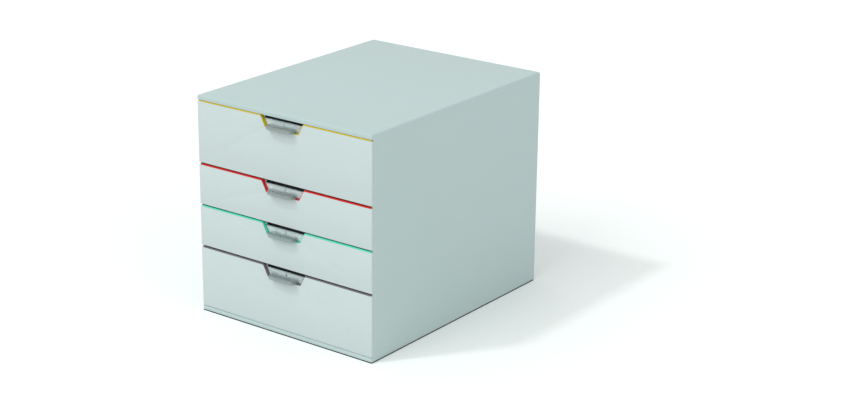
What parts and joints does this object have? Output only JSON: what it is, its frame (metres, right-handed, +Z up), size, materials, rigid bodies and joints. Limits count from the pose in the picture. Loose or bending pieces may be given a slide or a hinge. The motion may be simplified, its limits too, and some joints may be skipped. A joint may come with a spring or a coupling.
{
  "type": "desktop file drawer",
  "caption": "Desktop drawer box for files: drawers slide forward on side runners; each front has a coloured strip along its top edge and a clear handle with a label window.",
  "frame": {"origin": "on the floor, under the middle of the whole object", "axes": "+X to the right seen from the front, the drawer fronts face -Y, +Z up"},
  "size_m": [0.28, 0.365, 0.292],
  "materials": {
    "housing": "fine matt",
    "runner": "plain",
    "rubber_foot": "matt",
    "tray": "plain",
    "front": "fine matt",
    "strip_yellow": "semi gloss",
    "strip_red": "semi gloss",
    "strip_green": "semi gloss",
    "strip_graphite": "semi gloss",
    "clear_handle": "clear smoke-grey plastic",
    "label_card": "plain"
  },
  "bodies": {
    "housing": {"housing_shell": "housing", "rear_panel": "housing", "runner_left": "runner", "runner_right": "runner", "foot_front_left": "rubber_foot", "foot_front_right": "rubber_foot", "foot_rear_left": "rubber_foot", "foot_rear_right": "rubber_foot"},
    "drawer_1": {"tray_1": "tray", "front_1": "front", "strip_1": "strip_yellow", "handle_1": "clear_handle", "label_1": "label_card"},
    "drawer_2": {"tray_2": "tray", "front_2": "front", "strip_2": "strip_red", "handle_2": "clear_handle", "label_2": "label_card"},
    "drawer_3": {"tray_3": "tray", "front_3": "front", "strip_3": "strip_green", "handle_3": "clear_handle", "label_3": "label_card"},
    "drawer_4": {"tray_4": "tray", "front_4": "front", "strip_4": "strip_graphite", "handle_4": "clear_handle", "label_4": "label_card"}
  },
  "joints": [
    {"name": "drawer_1_slide", "type": "slide", "parent": "housing", "child": "drawer_1", "axis": [0, -1, 0], "range_m": [0, 0.25]},
    {"name": "drawer_2_slide", "type": "slide", "parent": "housing", "child": "drawer_2", "axis": [0, -1, 0], "range_m": [0, 0.25]},
    {"name": "drawer_3_slide", "type": "slide", "parent": "housing", "child": "drawer_3", "axis": [0, -1, 0], "range_m": [0, 0.25]},
    {"name": "drawer_4_slide", "type": "slide", "parent": "housing", "child": "drawer_4", "axis": [0, -1, 0], "range_m": [0, 0.25]}
  ]
}
